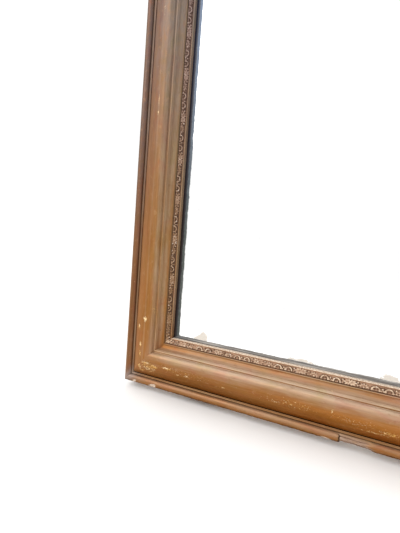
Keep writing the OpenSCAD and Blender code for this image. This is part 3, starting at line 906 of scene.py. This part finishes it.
def cloudiness(s, place, wander):
    """Where the pale patches at the foot of the glass lie, painted as reflections."""
    cloudy = 0.0
    for along, height, half_a, half_h in CLOUDS:
        middle = ((FRAME_W / 2 - along) / half_a, 0, -height / half_h)
        local = s.stretch(place, (1000 / half_a, 0, 1000 / half_h), shift=middle)
        away = s.node("ShaderNodeVectorMath", {0: local}, "Value", operation="LENGTH")
        away = s.plus(away, s.times(s.minus(wander, 0.5), 2.4))
        cloudy = s.most(cloudy, s.step(away, 0.80, 1.0, 0.85, 0))
    return cloudy


def mirror_glass():
    """Silvered plate with a dark, uneven strip beside the sight edge painted as reflection, foxing, and a few
    pale patches painted as reflections.
    """
    s = Shader("old_mirror", Specular_IOR_Level=0.5)
    place = frame_place(s)
    x, z = (s.node("ShaderNodeSeparateXYZ", {0: place}, axis) for axis in "XZ")
    wander, fine = s.noise(place, 55, 5, 0.6), s.noise(place, 420, 3, 0.6)
    side = s.math("DIVIDE", inside(s, x, FRAME_W - 2 * FACE_W), STILE_MARGIN)
    end = s.math("DIVIDE", inside(s, s.minus(z, FRAME_H / 2 * MM), FRAME_H - 2 * FACE_W), RAIL_MARGIN)
    stray = s.plus(s.times(s.minus(wander, 0.5), 0.5), s.times(s.minus(fine, 0.5), 0.22))
    ragged = s.plus(s.math("MINIMUM", side, end), s.times(stray, s.step(z, 0.3, 0.8, 1.0, 0.25)))
    silver = s.step(ragged, 0.93, 1.07)
    on_end = s.step(s.minus(side, end), -0.25, 0.35)
    margin = glass_margin(s, place, x, ragged, s.step(z, 0.25, 0.75), on_end)
    foxing = s.times(s.step(s.noise(place, 90, 4, 0.65), 0.70, 0.76), 0.12)
    s.body = s.mix(silver, margin, s.mix(foxing, (0.97, 0.97, 0.97), (0.45, 0.40, 0.36)))
    # Pale patches painted as reflections.
    cloudy = s.times(cloudiness(s, place, wander), silver)
    s.coat(cloudy, s.mix(fine, (0.42, 0.365, 0.30), (0.68, 0.62, 0.54)))
    clear = s.times(silver, s.minus(1.0, cloudy))
    return s.finish(Metallic=clear, Roughness=s.step(clear, 0, 1, 0.30, 0.025))


def wood(name, pale, dark, place_of, along, gloss=0.62, dust=0.0):
    """Sawn wood: growth rings and fibres drawn out along the grain, darker clouds and, if given, dust."""
    s = Shader(name, Specular_IOR_Level=0.35)
    place = place_of(s)
    long_way = [1.0, 1.0, 1.0]
    long_way["xyz".index(along)] = 0.07
    drawn = s.stretch(place, tuple(long_way))
    bend = s.noise(drawn, 9, 3, 0.5, 0.3)
    rings = s.step(s.math("SINE", s.times(bend, 95.0)), -0.9, 1.0)
    fibre = s.noise(s.stretch(place, tuple(0.03 if w < 1 else 1.0 for w in long_way)), 950, 3, 0.6)
    cloud = s.noise(place, 7, 4, 0.6)
    s.body = s.mix(s.times(rings, 0.62), pale, dark)
    s.coat(s.step(fibre, 0.35, 0.7, 0, 0.35), tuple(c * 0.55 for c in dark))
    s.coat(s.step(cloud, 0.45, 0.75, 0, 0.45), tuple(c * 0.7 for c in dark))
    if dust:
        s.coat(s.step(s.noise(place, 30, 5, 0.6), 0.4, 0.7, 0, dust), (0.36, 0.32, 0.27))
    shine = s.step(cloud, 0.3, 0.7, gloss - 0.06, gloss + 0.12)
    height = s.plus(s.times(fibre, 0.7), s.times(rings, 0.5))
    return s.finish(Roughness=shine, Normal=s.bump(height, 0.35, 0.0004))


def metal(name, bright, dull, gloss):
    """Old metal: bright and dull in patches, speckled, with fine scratches."""
    s = Shader(name)
    place = s.object_place()
    cloud = s.noise(place, 160, 5, 0.65)
    scratch = s.noise(place, (2500, 160, 160), 2, 0.6)
    spots = s.step(s.noise(place, 900, 3, 0.6), 0.58, 0.72)
    s.body = s.mix(s.step(cloud, 0.35, 0.65), bright, dull)
    s.coat(s.times(spots, 0.6), tuple(c * 0.35 for c in dull))
    shine = s.plus(s.step(cloud, 0.3, 0.7, gloss, gloss + 0.22), s.times(spots, 0.2))
    return s.finish(Roughness=shine, Metallic=0.95, Normal=s.bump(scratch, 0.15, 0.0001))


def rubber():
    s = Shader("boot_rubber", Specular_IOR_Level=0.4)
    place = s.object_place()
    dust = s.noise(place, 120, 5, 0.6)
    pores = s.noise(place, 1500, 2, 0.5)
    s.body = s.mix(s.step(dust, 0.45, 0.75, 0, 0.5), (0.018, 0.018, 0.019), (0.09, 0.085, 0.08))
    return s.finish(Roughness=s.step(dust, 0.3, 0.7, 0.55, 0.8), Normal=s.bump(pores, 0.3, 0.0002))


def backing_paint():
    s = Shader("backing_paint")
    place = frame_place(s)
    brush = s.noise(place, (180, 1, 6), 4, 0.6)
    s.body = s.mix(s.step(brush, 0.35, 0.65), (0.11, 0.035, 0.022), (0.17, 0.06, 0.035))
    return s.finish(Roughness=s.step(brush, 0.3, 0.7, 0.6, 0.8), Normal=s.bump(brush, 0.3, 0.0002))


def leather():
    """Worn strap leather: creased and pebbled, darker at its edges."""
    s = Shader("strap_leather", Specular_IOR_Level=0.45)
    place = s.vector("place")
    cloud = s.noise(place, 60, 5, 0.6)
    pebble = s.cells(place, 900)
    crease = s.noise(place, (320, 60, 60), 4, 0.6, 0.6)
    s.body = s.mix(s.step(cloud, 0.35, 0.65), (0.095, 0.036, 0.016), (0.17, 0.072, 0.032))
    s.coat(s.step(crease, 0.56, 0.68, 0, 0.5), (0.26, 0.14, 0.08))
    s.coat(s.times(s.value("edge"), 0.8), (0.035, 0.014, 0.008))
    height = s.plus(pebble, s.times(crease, 1.5))
    return s.finish(Roughness=s.step(cloud, 0.3, 0.7, 0.42, 0.62), Normal=s.bump(height, 0.4, 0.0003))


def thread():
    s = Shader("waxed_thread")
    place = s.object_place()
    twist = s.noise(place, 1800, 2, 0.5)
    s.body = s.mix(s.step(twist, 0.4, 0.6), (0.50, 0.40, 0.26), (0.68, 0.58, 0.42))
    return s.finish(Roughness=0.7, Normal=s.bump(twist, 0.4, 0.0002))


def floor_paint():
    s = Shader("pale_floor")
    place = s.object_place()
    cloud = s.noise(place, 1.5, 4, 0.5)
    s.body = s.mix(cloud, (0.88, 0.88, 0.875), (0.92, 0.92, 0.915))
    return s.finish(Roughness=0.8)


# ---- dressing the CAD nodes


def dress(node, material, edge):
    """Gives a CAD node its material and, where it has an edge width in metres, slightly rounded arrises."""
    piece = frame["nodes"][node]
    piece.data.materials.clear()
    piece.data.materials.append(material)
    if edge:
        piece.modifiers.new("weld", "WELD").merge_threshold = 0.00002
        bevel = piece.modifiers.new("arris", "BEVEL")
        bevel.width, bevel.segments, bevel.limit_method = edge, 2, "ANGLE"
        bevel.angle_limit, bevel.harden_normals = math.radians(38), True


def dress_back():
    """Every piece that keeps its CAD mesh: its material and the width of its arrises."""
    pine, beech = ((0.46, 0.29, 0.145), (0.27, 0.14, 0.06)), ((0.50, 0.31, 0.165), (0.34, 0.185, 0.085))
    pine_x = wood("pine_across", *pine, frame_place, "x")
    pine_z = wood("backboard_pine", (0.33, 0.215, 0.125), (0.19, 0.11, 0.055), frame_place, "z", 0.72, 0.45)
    beech_z = wood("strut_beech_long", *beech, strut_place, "z", 0.48)
    beech_x = wood("strut_beech_across", *beech, strut_place, "x", 0.48)
    hard = wood("dark_hardwood", (0.16, 0.075, 0.035), (0.075, 0.032, 0.015), frame_place, "x", 0.45)
    steel = metal("dull_steel", (0.46, 0.45, 0.43), (0.20, 0.18, 0.16), 0.38)
    brass = metal("aged_brass", (0.60, 0.42, 0.16), (0.30, 0.19, 0.07), 0.30)
    for material, edge, nodes in (
        (pine_x, 0.0012, "upper_batten lower_batten button_post"),
        (pine_x, 0.0006, "corner_plates glazing_blocks"),
        (pine_z, 0.0008, "backboard_1 backboard_2 backboard_3"),
        (beech_z, 0.0016, "strut_left_leg strut_right_leg"),
        (beech_x, 0.0012, "strut_top_bar strut_middle_bar strut_low_bar strut_dowels"),
        (hard, 0.0010, "frame_feet mitre_keys"),
        (steel, 0, "backboard_sprigs corner_screws batten_screws foot_screws"),
        (brass, 0, "hinge_frame_leaves hinge_strut_leaves hinge_pins hinge_frame_screws hinge_strut_screws"),
        (brass, 0, "button_screw strap_frame_screws strap_strut_screws"),
        (brass, 0.0007, "turn_button"),
        (rubber(), 0.0010, "strut_boots"),
        (mirror_glass(), 0, "mirror_plate"),
        (backing_paint(), 0, "mirror_backing"),
    ):
        for node in nodes.split():
            dress(node, material, edge)


# ---- straps

# In millimetres: places of the two straps, the strap's size, and the two faces it's screwed to.
STRAP_X, STRAP_W, SPAN_T, TAB_T, TAB_L, LAP, SAG = 90, 26, 2.6, 1.1, 24, 5, 5
BATTEN_T, STRAP_S = 20, 366
BAR_FACE, STRAP_DROP = 1, -850
BEND_R, RING_STEP, TAB_STEP = 9, 2.0, 0.8

# Stitches: distance between them, half length, half thickness, how far in from the edge, and their shape
# as places along and shares of the thickness.
STITCH_PITCH, STITCH_HALF, STITCH_FAT, SEAM_INSET = 4.2, 1.45, 0.42, 3
STITCH_SHAPE = ((-1, 0.12), (-0.7, 0.8), (0, 1), (0.7, 0.8), (1, 0.12))


def on_batten(out, up):
    """World point beside the strap's line on the lower batten, from millimetres outward and upward."""
    return ORIGIN + LEAN_TURN @ Vector((0, BATTEN_T + out, STRAP_S + up)) * MM


def on_bar(out, up):
    """World point beside the strap's line on the strut's low bar, from millimetres forward and upward."""
    return HINGE + STRUT_TURN @ Vector((0, BAR_FACE - out, STRAP_DROP + up)) * MM


def bent(corners, radius, steps=9):
    """A line through the corners, each inner one rounded off."""
    out = [corners[0]]
    for before, here, after in zip(corners, corners[1:], corners[2:]):
        reach = min(radius, (here - before).length / 2, (after - here).length / 2)
        start, end = (here + (other - here).normalized() * reach for other in (before, after))
        out += [(1 - t) ** 2 * start + 2 * t * (1 - t) * here + t * t * end for t in np.linspace(0, 1, steps)]
    return out + [corners[-1]]


def resampled(line, pitch):
    """Points at an even pitch along a line, and their distance from its start."""
    points = np.array([list(p) for p in line])
    run = np.concatenate([[0], np.cumsum(np.linalg.norm(np.diff(points, axis=0), axis=1))])
    places = np.linspace(0, run[-1], max(3, int(run[-1] / pitch)))
    return np.stack([np.interp(places, run, points[:, k]) for k in range(3)], 1), places


def band_outline(half_w, half_t):
    """Section of a strap with rounded edges, as (across, thickness)."""
    flat = half_w - half_t
    top = [(x, half_t) for x in np.linspace(-flat, flat, 11)]
    top += [(flat + half_t * math.cos(t), half_t * math.sin(t)) for t in (0.9, 0.3, -0.3, -0.9)]
    return np.array(top + [(-x, -y) for x, y in top])


def normals_of(points):
    """Outward normals of a line in the Y-Z plane."""
    ahead = np.gradient(points, axis=0)
    ahead /= np.linalg.norm(ahead, axis=1)[:, None]
    return np.stack([0 * ahead[:, 0], -ahead[:, 2], ahead[:, 1]], 1)


def band(name, x, line, widths, thick, body, material):
    """A strap along a line in the Y-Z plane at x, with a width for every ring."""
    points, places = line
    rings = []
    for point, normal, width in zip(points, normals_of(points), widths):
        outline = band_outline(width / 2 * MM, thick / 2 * MM)
        ring = point + outline[:, 1, None] * normal
        ring[:, 0] = x * MM + outline[:, 0]
        rings.append(ring)
    corners, run = np.concatenate(rings), np.repeat(places, len(rings[0]))
    faces = tube_faces(len(rings), len(rings[0]))
    piece = new_object(name, corners, faces, body, "strap_leather", material)
    piece.data.flip_normals()
    add_place(piece, corners[:, 0], run, 0 * run)
    across = np.abs(corners[:, 0] / MM - x)
    add_values(piece, edge=smooth(across, STRAP_W / 2 - 2.2, STRAP_W / 2 - 0.4))
    return piece


def stitches(name, x, line, body, material):
    """Two rows of stitches on both faces of a strap's span."""
    points, places = line
    out = normals_of(points)
    corners, faces = [], []
    for side in (-1, 1):
        for face in (-1, 1):
            for middle in np.arange(places[0] + 6 * MM, places[-1] - 6 * MM, STITCH_PITCH * MM):
                first = len(corners)
                for step, share in STITCH_SHAPE:
                    at, fat = middle + step * STITCH_HALF * MM, share * STITCH_FAT * MM
                    spot = np.array([np.interp(at, places, points[:, k]) for k in range(3)])
                    away = face * np.array([np.interp(at, places, out[:, k]) for k in range(3)])
                    spot = spot + away * (SPAN_T / 2 - 0.10) * MM
                    for t in np.linspace(0, 2 * math.pi, 7)[:-1]:
                        corner = spot + away * math.sin(t) * fat
                        corner[0] = (x + side * (STRAP_W / 2 - SEAM_INSET)) * MM + math.cos(t) * fat
                        corners.append(corner)
                for quad in tube_faces(len(STITCH_SHAPE), 6):
                    faces.append([first + n for n in (quad if face > 0 else quad[::-1])])
    return new_object(name, corners, faces, body, "strap_leather", material)


def tab(name, x, spot, body, material):
    """A skived strap end, lying on a face and rounded off at its free end."""
    half = TAB_T / 2 + 0.02
    line = resampled([spot(half, 0.5), spot(half, TAB_L)], TAB_STEP * MM)
    free = np.clip((line[1][-1] - line[1]) / MM, 0, 6)
    widths = STRAP_W - 8 + 8 * np.sqrt(1 - (1 - free / 6) ** 2)
    band(name, x, line, widths, TAB_T, body, material)


def build_straps(material, stitch):
    """Two leather straps: a slightly hanging span, with a tab on the batten and one on the strut's bar."""
    half = SPAN_T / 2 + 0.15
    corners = [on_batten(half, LAP), on_batten(half, 0), on_bar(half, 0), on_bar(half, -LAP)]
    points, places = resampled(bent(corners, BEND_R * MM), RING_STEP * MM)
    share = places / places[-1]
    points[:, 2] -= SAG * MM * 4 * share * (1 - share) * smooth(np.minimum(share, 1 - share), 0, 0.06)
    line = points, places
    for label, x in (("left", -STRAP_X), ("right", STRAP_X)):
        span = band(f"{label}_strap", x, line, np.full(len(points), STRAP_W), SPAN_T, "frame", material)
        seams = stitches(f"{label}_strap_stitches", x, line, "frame", stitch)
        if label == "left":
            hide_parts("stay_straps")
        for piece in (span, seams):
            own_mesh(piece)
        tab(f"{label}_strap_upper_tab", x, on_batten, "frame", material)
        tab(f"{label}_strap_lower_tab", x, lambda out, up: on_bar(out, -up), "strut", material)


# ---- camera, light and floor

# In the upright frame: where the camera stands, in metres, which way it looks, and its upward side.
CAMERA_SPOT = (0.1076, -0.6766, 0.3061)
CAMERA_AHEAD, CAMERA_UP = (-0.46948, 0.87914, -0.08192), (-0.10496, 0.03656, 0.99380)
CAMERA_LENS, CAMERA_SENSOR = 27.48, 36

# In metres: the lamp's place and size, what it shines at in the upright frame, and half the floor's side.
LAMP_SPOT, LAMP_SIZE, LAMP_AIM = (-1.9, -2.5, 2.7), 2.6, (-HALF_W * MM, -0.03, 0.25)
LAMP_POWER, LAMP_TINT = 60, (1.0, 0.985, 0.96)
FLOOR_HALF = 6.0


def add_to_scene(name, data):
    made = bpy.data.objects.new(name, data)
    bpy.context.scene.collection.objects.link(made)
    return made


def add_camera():
    """A camera before the lower left corner, looking down a little and across to the left."""
    data = bpy.data.cameras.new("camera")
    data.sensor_fit, data.lens = "VERTICAL", CAMERA_LENS
    data.sensor_width, data.sensor_height = CAMERA_SENSOR, CAMERA_SENSOR
    camera = add_to_scene("camera", data)
    ahead = (LEAN_TURN @ Vector(CAMERA_AHEAD)).normalized()
    right = ahead.cross(LEAN_TURN @ Vector(CAMERA_UP)).normalized()
    turn = Matrix((right, right.cross(ahead), -ahead)).transposed().to_4x4()
    camera.matrix_world = Matrix.Translation(to_world([CAMERA_SPOT])[0]) @ turn
    bpy.context.scene.camera = camera


def add_lamp():
    """One large soft lamp from the left front."""
    data = bpy.data.lights.new("key", "AREA")
    data.shape, data.size, data.energy, data.color = "SQUARE", LAMP_SIZE, LAMP_POWER, LAMP_TINT
    lamp = add_to_scene("key", data)
    lamp.location = LAMP_SPOT
    aim = Vector(to_world([LAMP_AIM])[0]) - Vector(LAMP_SPOT)
    lamp.rotation_euler = aim.to_track_quat("-Z", "Y").to_euler()


def add_room():
    """Pale surroundings that are brighter overhead."""
    world = bpy.data.worlds.new("studio")
    room = Nodes(world)
    seen = room.node("ShaderNodeTexCoord", {}, "Generated")
    height = room.node("ShaderNodeSeparateXYZ", {0: seen}, "Z")
    background = world.node_tree.nodes["Background"].inputs
    room.put(background["Strength"], room.step(height, 0.1, 0.9, 1.04, 1.3))
    room.put(background["Color"], (1, 1, 1))
    bpy.context.scene.world = world
    bpy.context.scene.view_settings.view_transform = "Standard"


def add_floor():
    mesh = bpy.data.meshes.new("floor")
    corners = [(x * FLOOR_HALF, y * FLOOR_HALF, 0) for x, y in ((-1, -1), (1, -1), (1, 1), (-1, 1))]
    mesh.from_pydata(corners, [], [(0, 1, 2, 3)])
    mesh.materials.append(floor_paint())
    add_to_scene("floor", mesh)


# ---- the whole mirror

# Where the bottom rail's rings stand closer: from, to, and the distance between them.
RAIL_BUSY = [
    (14, 34, 1.2), (52, 80, 1.2), (BREAK_FROM - 2, BREAK_FROM + 2, 0.4), (BREAK_FROM, BREAK_TO + 8, 1.0),
]

# Where a repeat of the ornament begins, from the start of its length; on the left stile, from its foot.
PHASE, LEFT_PHASE = 168.5, 474

add_camera()
add_lamp()
add_room()
add_floor()

paint = bronze()
sawn = (0.50, 0.34, 0.18), (0.33, 0.19, 0.09)
bare_wood = wood("moulding_pine", *sawn, frame_place, "z", 0.7, 0.3)
bare_rail = wood("moulding_pine_across", *sawn, frame_place, "x", 0.7, 0.3)
for seed, (side, part, length, chips, busy, bare) in enumerate((
    ("bottom", "rail", FRAME_W, RAIL_CHIPS, RAIL_BUSY, bare_rail),
    ("top", "rail", FRAME_W, TOP_CHIPS, [], bare_rail),
    ("left", "stile", FRAME_H, STILE_CHIPS, [], bare_wood),
    ("right", "stile", FRAME_H, RIGHT_CHIPS, [], bare_wood),
), 1):
    moulding(f"{side}_{part}", side, length, chips, busy, (paint, bare), seed)

cast = compo()
for seed, (side, length, phase) in enumerate((
    ("bottom", FRAME_W, PHASE), ("top", FRAME_W, PHASE),
    ("left", FRAME_H, FRAME_H - LEFT_PHASE), ("right", FRAME_H, PHASE),
), 11):
    ornament(f"{side}_ornament", side, length, phase, cast, seed)

dress_back()
build_straps(leather(), thread())
